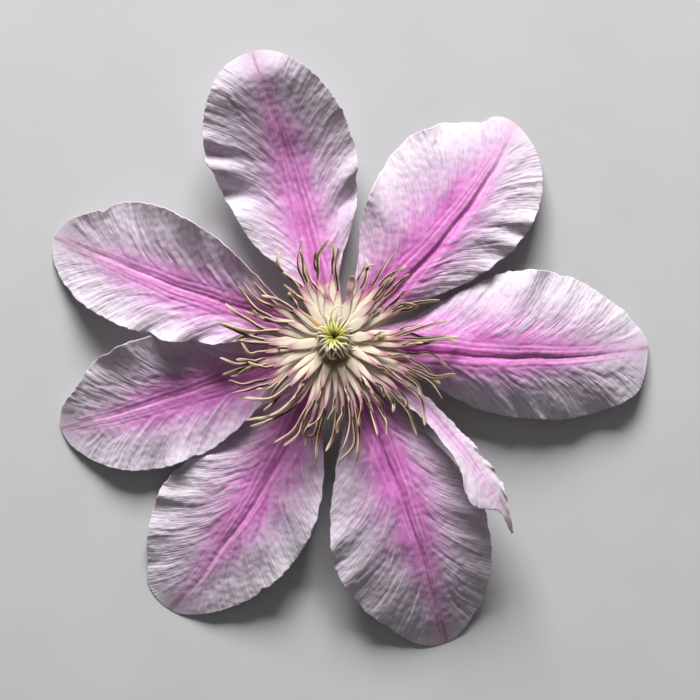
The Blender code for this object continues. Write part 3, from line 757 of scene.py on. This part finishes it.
def sepal_sheet(sepal, columns, seed):
    """Middle surface of a sepal, with rows from root to tip and columns from right to left.

    Gives also the shares t of the length and v of the width, and the distance left of the midrib.
    """
    t = 1.0 - np.linspace(1.0, 0.0, SEPAL_ROWS)[:, None] ** ROW_CROWDING
    v = np.linspace(-1.0, 1.0, columns)[None, :]
    t, v = np.broadcast_arrays(t, v)
    width = margin_place(sepal, t, v, seed)
    along = polar(sepal.azimuth, 1.0)
    radius = SEPAL_ROOT + (sepal.length - SEPAL_ROOT) * t
    offset = 4.0 * sepal.bow * t * (1.0 - t) + v * width
    x = radius * along[0] - offset * along[1]
    y = radius * along[1] + offset * along[0]
    return np.stack((x, y, sheet_height(sepal, t, v, width)), axis=-1), t, v, v * width


def settle(points, t, thickness, rest):
    """Bends a sheet up or down, mostly at its outer end, until its underside has its rest height.

    A sheet with no rest height keeps its shape.
    """
    if rest is None:
        return
    give = held((t - 0.3) / 0.7) ** 1.5
    for _ in range(SETTLING_STEPS):
        under = (points - 0.5 * thickness[..., None] * surface_normals(points))[..., 2]
        points[..., 2] += (rest - under.min()) * give


def vein_place(t, b, length):
    """Distance along the midrib at which the vein through a place leaves it."""
    out = np.abs(b)
    return t * length - VEIN_SWEEP * (1.0 - np.exp(-out / VEIN_BEND)) - VEIN_SLOPE * out


def rib_relief(sepal, t, b, seed):
    """Height of the groove beside the midrib, its banks and the lines between the ribs."""
    along = t * sepal.length
    spread = 1.0 - RIB_TAPER * t
    offset, depth = sepal.groove
    wander = b + 0.45 * noise(along / 9.0, 0.3, seed + 10)
    uneven = 1.0 + 0.6 * noise(along / 6.0, 3.3, seed + 11)
    wall = np.where(wander > offset * spread, *GROOVE_WALLS) * spread
    ribs = -depth * bell(wander, offset * spread, wall)
    for aside, share, breadth in GROOVE_BANKS:
        ribs += share * depth * bell(wander, (offset + aside) * spread, breadth * spread)
    for aside, breadth, deep in RIB_LINES:
        ribs -= deep * bell(np.abs(wander), aside * spread, breadth * spread) * uneven
    return ribs


def sepal_relief(sepal, t, v, b, phi, seed):
    """Height of the ribs, veins and puckers over the smooth sheet, and of the fine pleats alone."""
    out, along = np.abs(b), t * sepal.length
    hand = np.sign(v) * SIDES_APART
    warp = 0.6 * noise(phi / 4.0, b / 4.0, seed + 6)

    def wrinkles(wavelength, length, shift, number):
        """Noise drawn out along the veins."""
        return noise(phi / wavelength + shift, out / length + hand, seed + number)

    def bumps(size, number):
        """Noise alike in all directions."""
        return noise((along + b) / size, (along - b) / size, seed + number)

    veins = wrinkles(1.6, 8.0, warp, 2)
    veins += 0.7 * wrinkles(1.0, 6.0, warp, 3)
    veins *= smooth_step(1.5, 8.0, out)
    creases = 0.45 - np.abs(wrinkles(3.2, 7.0, warp, 7))
    ridges = wrinkles(4.2, 6.0, 2.0 * warp, 9) * bell(out, 5.0, 4.0)
    folds = wrinkles(5.6, 14.0, 0.0, 4)
    blisters = BLISTER_HEIGHT * bumps(2.0, 8)

    margin = smooth_step(0.1, 0.95, np.abs(v))
    clear = smooth_step(0.8, 5.0, out)
    fade = smooth_step(0.0, 0.06, t) * smooth_step(1.0, 0.9, t)
    pleats = (
        (VEIN_HEIGHT + 0.04 * margin) * veins
        + CREASE_HEIGHT * creases * (1.0 - 0.8 * margin)
        + RIDGE_HEIGHT * ridges
    )
    relief = fade * rib_relief(sepal, t, b, seed) * smooth_step(1.05, 0.6, t)
    relief += fade * clear * (pleats + folds * (FOLD_HEIGHT + 0.24 * margin ** 2))
    relief += fade * (DENT_HEIGHT * bumps(11.0, 5) + blisters)
    return relief, clear * pleats + blisters


def two_sides(points, t, b, thickness):
    """Upper and lower surface of a sheet, with keels under the midrib and the ribs beside it."""
    normals = upward_normals(points)
    spread = 1.0 - RIB_TAPER * t
    keel = sum(tall * bell(np.abs(b), aside * spread, breadth) for aside, breadth, tall in KEELS)
    keel *= smooth_step(1.0, 0.2, t)
    top = points + 0.5 * thickness[..., None] * normals
    bottom = points - (0.5 * thickness + keel)[..., None] * normals
    bottom[..., 2] = np.maximum(bottom[..., 2], 0.0)
    top[..., 2] = np.maximum(top[..., 2], bottom[..., 2] + LEAST_THICKNESS)
    return top, bottom


def grid_faces(index):
    quads = np.stack((index[:-1, :-1], index[:-1, 1:], index[1:, 1:], index[1:, :-1]), axis=-1)
    return quads.reshape(-1, 4)


def rim_of(index):
    return np.concatenate((index[0, :], index[1:, -1], index[-1, -2::-1], index[-2:0:-1, 0]))


def closed_sheet(top, bottom):
    """Points and faces of a solid between a fine upper grid and a lower grid with half its steps.

    The faces come as three lists: the upper side, the lower side and the rim between them.
    """
    upper = np.arange(top.shape[0] * top.shape[1]).reshape(top.shape[:2])
    lower = upper.size + np.arange(bottom.shape[0] * bottom.shape[1]).reshape(bottom.shape[:2])
    points = np.concatenate((top.reshape(-1, 3), bottom.reshape(-1, 3)))
    fine, coarse = rim_of(upper), rim_of(lower)
    start, middle, end = fine[0::2], fine[1::2], np.roll(fine[0::2], -1)
    after = np.roll(coarse, -1)
    rim = np.concatenate((
        np.stack((start, middle, coarse), -1),
        np.stack((middle, after, coarse), -1),
        np.stack((middle, end, after), -1),
    ))
    return points, grid_faces(upper)[:, ::-1].tolist(), grid_faces(lower).tolist(), rim.tolist()


def build_sepal(number, sepal, upper, under):
    """A closed sheet with two finished sides, and the readings that its materials need."""
    seed = 100 * number
    length = sepal.length - SEPAL_ROOT
    columns = SEPAL_COLUMNS if max(sepal.left) > NARROW_HALF_WIDTH else NARROW_COLUMNS
    points, t, v, b = sepal_sheet(sepal, columns, seed)
    thin = np.maximum(smooth_step(0.45, 1.0, np.abs(v)), t ** 8)
    thickness = SEPAL_THICKNESS + (MARGIN_THICKNESS - SEPAL_THICKNESS) * thin
    settle(points, t, thickness, sepal.rest)
    phi = vein_place(t, b, length)
    relief, pleats = sepal_relief(sepal, t, v, b, phi, seed)
    top, bottom = two_sides(points + upward_normals(points) * relief[..., None], t, b, thickness)
    points, upper_side, lower_side, rim = closed_sheet(top, bottom[::2, ::2])

    bar_left, bar_right, strength = sepal.bar
    bar_width = np.where(b > 0, bar_left, bar_right) * through(BAR_STATIONS, BAR_HALF_WIDTHS, t)
    stain = np.zeros_like(t)
    for place, aside, long, wide in sepal.stains:
        stain = np.maximum(stain, bell((t - place) * length, 0.0, long) * bell(b, aside, wide))

    def both_sides(*readings):
        grid = np.stack(np.broadcast_arrays(*readings), axis=-1).reshape(*t.shape, -1)
        return np.concatenate([part.reshape(-1, len(readings)) for part in (grid, grid[::2, ::2])])

    attributes = {
        "petal": both_sides(t, b, np.abs(v)),
        "vein": both_sides(phi, np.abs(b) + 30.0 * (v > 0), 7.3 * number),
        "bar": both_sides(np.abs(b) / bar_width).ravel(),
        # the pleats' height, from which the upper material paints highlight and shade
        "pleat": both_sides(pleats).ravel(),
        "stain": both_sides(stain).ravel(),
        "bar_strength": both_sides(strength * through(BAR_STATIONS, BAR_STRENGTHS, t)).ravel(),
    }
    faces = upper_side + lower_side + rim
    sides = [0] * len(upper_side) + [1] * (len(lower_side) + len(rim))
    piece = make_object(f"sepal_{number}_veined", points, faces, (upper, under), attributes, sides)
    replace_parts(piece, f"sepal_{number}")


# ---------------- straps: stamens and styles


def smooth_route(corners, count):
    """A smooth way through corners: its x and y, the distance gone at each and at the corners."""
    legs = np.linalg.norm(np.diff(corners, axis=0), axis=1)
    stations = np.concatenate(((0.0,), np.cumsum(legs)))
    gone = np.linspace(0.0, stations[-1], count)
    x, y = (through(stations, corners[:, axis], gone) for axis in (0, 1))
    return x, y, gone, stations


def strap_rings(path, widths, heights, twists, lobes, sides):
    """Rings of points round a flat strap; lobes above 0 pinch its middle so that two sacs stand out."""
    tangents = unit(np.gradient(path, axis=0))
    level = unit(np.cross((0.0, 0.0, 1.0), tangents))
    upright = np.cross(tangents, level)
    cos, sin = np.cos(twists)[:, None], np.sin(twists)[:, None]
    flat = level * cos + upright * sin
    proud = upright * cos - level * sin
    angle = (np.arange(sides) + 0.5) * 2.0 * math.pi / sides
    across = np.sign(np.cos(angle)) * np.abs(np.cos(angle)) ** 0.8
    rise = np.sign(np.sin(angle)) * np.abs(np.sin(angle)) ** 0.7
    pinch = 1.0 - lobes[:, None] * bell(across, 0.0, 0.28)[None, :]
    rings = (
        path[:, None, :]
        + 0.5 * widths[:, None, None] * across[None, :, None] * flat[:, None, :]
        + 0.5 * (heights[:, None] * pinch * rise)[..., None] * proud[:, None, :]
    )
    return rings, across


def tube_faces(rings, sides, start):
    """Faces of a closed tube with rings of points that begin at index start; the two caps come last."""
    index = start + np.arange(rings * sides).reshape(rings, sides)
    after = np.roll(index, -1, axis=1)
    quads = np.stack((index[:-1], after[:-1], after[1:], index[1:]), axis=-1).reshape(-1, 4)
    caps = [index[0, ::-1].tolist(), index[-1].tolist()]
    return quads.tolist() + caps


class Bundle:
    """Collects straps into one mesh with the readings that their material needs."""

    def __init__(self):
        self.points, self.faces, self.strap, self.strip = [], [], [], []
        self.count = 0

    def add(self, path, widths, heights, twists, lobes, shares, tint, seed, sides, start=0.0):
        """Adds a strap; start is the distance that the material reads at its root."""
        rings, across = strap_rings(path, widths, heights, twists, lobes, sides)
        steps = np.linalg.norm(np.diff(path, axis=0), axis=1)
        gone = start + np.concatenate(((0.0,), np.cumsum(steps)))
        grid = np.broadcast_to(across, (len(path), sides))
        readings = (
            (self.strap, (shares[:, None], grid, tint)),
            (self.strip, (gone[:, None], grid * widths[:, None], seed)),
        )
        for store, values in readings:
            store.append(np.stack(np.broadcast_arrays(*values), -1).reshape(-1, 3))
        self.points.append(rings.reshape(-1, 3))
        self.faces += tube_faces(len(path), sides, self.count)
        self.count += rings.shape[0] * sides

    def make(self, name, material, slot):
        attributes = {"strap": np.concatenate(self.strap), "strip": np.concatenate(self.strip)}
        return make_object(name, np.concatenate(self.points), self.faces, (material,), attributes)


def stamen_route(row, swing):
    """Places x, y along a stamen and their shares, 0 to 1 on the filament and 1 to 2 on the anther."""
    from_azimuth, from_radius, via_azimuth, via_radius, tip_azimuth, tip_radius = row[:6]
    corners = np.array((
        polar(from_azimuth + swing, STAMEN_ROOT),
        polar(from_azimuth + 0.4 * swing, 0.5 * (STAMEN_ROOT + from_radius)),
        polar(from_azimuth, from_radius),
        polar(via_azimuth, via_radius),
        polar(tip_azimuth, tip_radius),
    ))
    x, y, gone, stations = smooth_route(corners, STAMEN_RINGS)
    begin, end = stations[2], stations[-1]
    return x, y, np.where(gone < begin, gone / begin, 1.0 + (gone - begin) / (end - begin))


def kink(shares, draw):
    """Sideways bends of an anther along one axis."""
    size = smooth_step(1.0, 1.35, shares) * draw.uniform(0.05, 0.34)
    return size * np.sin(draw.uniform(3.0, 9.0) * shares + draw.uniform(0.0, 6.0))


def stamen_height(shares, root, rise, draw):
    """Height of a stamen that arches away from its root and curls up or down at its tip."""
    arch = np.sin(0.5 * math.pi * held(shares / 1.3))
    curl = draw.gauss(0.0, 1.3) * held(shares - 1.0) ** 2
    wobble = draw.uniform(0.1, 0.35) * np.sin(3.0 * shares * math.pi + draw.uniform(0.0, 6.0))
    wobble *= smooth_step(0.9, 1.4, shares)
    return root + rise * arch * draw.uniform(0.85, 1.1) + curl + wobble


def add_stamen(bundle, row, draw):
    """A filament that widens away from the column, then narrows into a curled anther."""
    azimuth, radius = row[:2]
    width = row[6] if len(row) > 6 else draw.uniform(*FILAMENT_WIDTHS)
    tint = row[7] if len(row) > 7 else draw.uniform(-0.1, 0.1)
    _, root, rise = next(level for level in LEVELS if radius >= level[0])
    upper_side = max(math.sin(math.radians(azimuth)), 0.0)
    lower_side = max(-math.sin(math.radians(azimuth)), 0.0)
    width *= 1.0 - 0.2 * lower_side
    root += draw.uniform(-0.2, 0.2) + 1.5 * upper_side
    rise -= 2.2 * upper_side
    x, y, shares = stamen_route(row, draw.uniform(-2.5, 2.5))
    x, y = x + kink(shares, draw), y + kink(shares, draw)
    path = np.stack((x, y, stamen_height(shares, root, rise, draw)), axis=-1)

    widening = smooth_step(STAMEN_ROOT, 6.5, np.hypot(x, y))
    narrowing = 1.0 - 0.5 * held((shares - 0.5) / 0.5)
    filament = (FILAMENT_ROOT_WIDTH + (width - FILAMENT_ROOT_WIDTH) * widening) * narrowing
    broad = BROAD_ANTHER if tint > 0.5 else 1.0
    tip = smooth_step(1.8, 2.0, shares)
    anther = broad * ANTHER_WIDTH * draw.uniform(0.85, 1.1) * (1.0 - 0.3 * tip)
    into = smooth_step(0.9, 1.06, shares)
    widths = filament * (1.0 - into) + anther * into
    heights = FILAMENT_THICKNESS * (1.0 - into) + ANTHER_THICKNESS * into * (1.0 - 0.5 * tip)
    ends = smooth_step(2.0, 1.985, shares) * 0.65 + 0.35
    twists = draw.gauss(0.0, 0.06) + draw.gauss(0.0, 0.8) * smooth_step(0.9, 2.0, shares)
    # on the lower side the root reads a distance below zero, so the painted tuft shadow runs farther along
    # the filament
    bundle.add(
        path, widths * ends, heights * ends, twists, 0.55 * into, shares, tint,
        draw.uniform(0.0, LAST_SEED), STAMEN_SIDES, -TUFT_SHADOW_GAIN * lower_side ** 2,
    )


def build_stamens(material):
    """The stamens in four groups round the flower; each group stands for its share of the nodes."""
    draw = random.Random(3)
    quarter = 360 / STAMEN_GROUPS
    bundles = [Bundle() for _ in range(STAMEN_GROUPS)]
    for row in STAMENS:
        add_stamen(bundles[int(row[0] % 360 // quarter)], row, draw)
    nodes = [[] for _ in range(STAMEN_GROUPS)]
    for number in range(1, STAMEN_NODES + 1):
        name = f"stamen_{number:02d}"
        low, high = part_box(name)
        x, y = 0.5 * (low[0] + high[0]) - AXIS[0], 0.5 * (low[1] + high[1]) - AXIS[1]
        nodes[int(math.degrees(math.atan2(y, x)) % 360 // quarter)].append(name)
    for number, (bundle, names) in enumerate(zip(bundles, nodes), start=1):
        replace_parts(bundle.make(f"stamens_{number}", material, "stamen"), *names)


def add_carpel(bundle, azimuth, slope, draw):
    """A silky achene that lies on the dome and points outward and down."""
    s = np.linspace(0.0, 1.0, CARPEL_RINGS)
    slopes = slope + 0.62 * s
    lower_side = max(-math.sin(azimuth), 0.0)
    radius = (DOME_RADIUS + (0.5 + 1.2 * lower_side) * s) * np.sin(slopes)
    height = DOME_BASE + DOME_HEIGHT * np.cos(slopes)
    out = np.array((math.cos(azimuth), math.sin(azimuth), 0.0))
    path = radius[:, None] * out + height[:, None] * (0.0, 0.0, 1.0)
    path[:, 1] -= DOME_LEAN
    widths = 1.15 * np.sin(math.pi * held(s * 0.86 + 0.14)) ** 0.6 + 0.1
    flat = np.zeros_like(s)
    bundle.add(
        path, widths, 0.8 * widths, flat, flat, s, CARPEL_KIND, draw.uniform(0.0, LAST_SEED), STYLE_SIDES
    )


def add_style(bundle, row, draw):
    """A style that leaves the dome, runs over the carpels and goes down to the filaments."""
    corners = np.array((0.25 * row[0], 0.25 * row[1], *row)).reshape(-1, 2)
    x, y, gone, stations = smooth_route(corners, STYLE_RINGS)
    s = gone / stations[-1]
    x = x + draw.uniform(-STYLE_SWAY, STYLE_SWAY) * np.sin(7.0 * s)
    y = y + draw.uniform(-STYLE_SWAY, STYLE_SWAY) * np.sin(6.0 * s)
    lower_side = float(smooth_step(1.5, -1.5, row[-1]))
    reach = DOME_RADIUS + 1.0 + 1.3 * lower_side
    out = np.hypot(x, y + DOME_LEAN * lower_side * held(gone / 2.0)) / reach
    over_dome = DOME_BASE + (DOME_HEIGHT + 1.0) * np.sqrt(held(1.0 - out ** 2))
    rest = REST_OF_STYLES - 0.9 * lower_side + draw.uniform(-0.2, 0.5)
    height = np.logaddexp(4.0 * over_dome, 4.0 * rest) / 4.0
    height += (draw.uniform(0.0, 0.7) + 1.4 * lower_side) * np.sin(math.pi * s)
    height += 0.5 * s ** 3 * draw.uniform(-1.0, 1.0) - 1.5 * bell(np.hypot(x, y), 0.0, 0.8)
    taper = 1.0 - 0.35 * s
    tip = 1.0 - 0.4 * smooth_step(0.85, 1.0, s)
    widths = STYLE_WIDTH * draw.uniform(0.85, 1.15) * taper * tip
    bundle.add(
        np.stack((x, y, height), -1), widths, 0.8 * widths, draw.gauss(0.0, 0.4) * s, 0.2 * np.ones_like(s),
        s, -lower_side, draw.uniform(0.0, LAST_SEED), STYLE_SIDES,
    )


def build_pistils(material):
    """The carpels in a spiral over the dome, and the styles."""
    draw = random.Random(8)
    bundle = Bundle()
    golden = math.pi * (3.0 - math.sqrt(5.0))
    for k in range(CARPEL_COUNT):
        add_carpel(bundle, golden * k, 0.2 + 1.0 * math.sqrt(k / CARPEL_COUNT), draw)
    for row in STYLES:
        add_style(bundle, row, draw)
    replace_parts(bundle.make("pistil_tuft", material, "pistil"), "pistils")


# ---------------- receptacle and stalk


def build_receptacle(material):
    """Fluted stalk with a cut end, a flange that carries the sepals and a column for the stamens."""
    heights, radii = np.array(COLUMN_PROFILE).T
    height = np.linspace(heights[0], heights[-1], COLUMN_RINGS)[:, None]
    turn = np.arange(COLUMN_SIDES)[None, :] * 2.0 * math.pi / COLUMN_SIDES
    flute = 0.09 * np.cos(6.0 * turn) * smooth_step(6.5, 4.0, height)
    rough = 0.05 * noise(height / 1.6, turn * 2.0, 41)
    ring = np.interp(height, heights, radii) + flute + rough
    grid = np.stack(np.broadcast_arrays(ring * np.cos(turn), ring * np.sin(turn), height), -1)
    points = grid.reshape(-1, 3)
    stalk = np.stack(np.broadcast_arrays(height, turn, np.zeros_like(ring)), -1).reshape(-1, 3)
    faces = tube_faces(COLUMN_RINGS, COLUMN_SIDES, 0)
    faces.pop(-2)  # the lower cap, which the dished cut end replaces
    rim = previous = np.arange(COLUMN_SIDES)
    for share, depth in CUT_END:
        here = len(points) + rim
        points = np.concatenate((points, grid[0] * (share, share, 1.0) + (0.0, 0.0, depth)))
        stalk = np.concatenate((stalk, np.tile((heights[0], 0.0, 1.0), (COLUMN_SIDES, 1))))
        faces += np.stack((previous, here, np.roll(here, -1), np.roll(previous, -1)), -1).tolist()
        previous = here
    faces.append(previous[::-1].tolist())
    piece = make_object("receptacle_fluted", points, faces, (material,), {"stalk": stalk})
    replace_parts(piece, "receptacle")


# ---------------- stage


def build_stage():
    """A plain pale floor, one broad lamp beyond the upper sepals and a dim surround."""
    far = FLOOR_HALF_SIZE
    corners = [(x, y, AXIS[2]) for x, y in ((-far, -far), (far, -far), (far, far), (-far, far))]
    mesh = bpy.data.meshes.new("floor")
    mesh.from_pydata(corners, [], [(0, 1, 2, 3)])
    mesh.materials.append(floor_material())
    floor = link(bpy.data.objects.new("floor", mesh))

    lamp = bpy.data.lights.new("key", "AREA")
    lamp.shape = "RECTANGLE"
    lamp.size, lamp.size_y = LAMP_SIZE
    lamp.energy = LAMP_POWER
    key = link(bpy.data.objects.new("key", lamp))
    key.location = LAMP_PLACE
    key.rotation_euler = [math.radians(angle) for angle in LAMP_TURN]

    world = bpy.data.worlds.new("surround")
    world.use_nodes = True
    background = world.node_tree.nodes["Background"]
    background.inputs["Color"].default_value = SURROUND_COLOUR
    background.inputs["Strength"].default_value = SURROUND_STRENGTH
    bpy.context.scene.world = world
    bpy.context.scene.view_settings.view_transform = "Standard"


def build_camera():
    data = bpy.data.cameras.new("camera")
    data.sensor_width = SENSOR
    data.lens = SENSOR * VIEW_DISTANCE / VIEW_WIDTH
    data.clip_start, data.clip_end = 0.05, 10.0
    camera = link(bpy.data.objects.new("camera", data))
    view = (*VIEW_CENTRE, VIEW_HEIGHT + VIEW_DISTANCE)
    camera.location = [middle + MM * offset for middle, offset in zip(AXIS, view)]
    bpy.context.scene.camera = camera


def main():
    build_stage()
    build_camera()
    upper, under = sepal_upper_material(), sepal_under_material()
    for number, sepal in enumerate(SEPALS, start=1):
        build_sepal(number, sepal, upper, under)
    build_stamens(stamen_material())
    build_pistils(pistil_material())
    build_receptacle(stalk_material())


main()
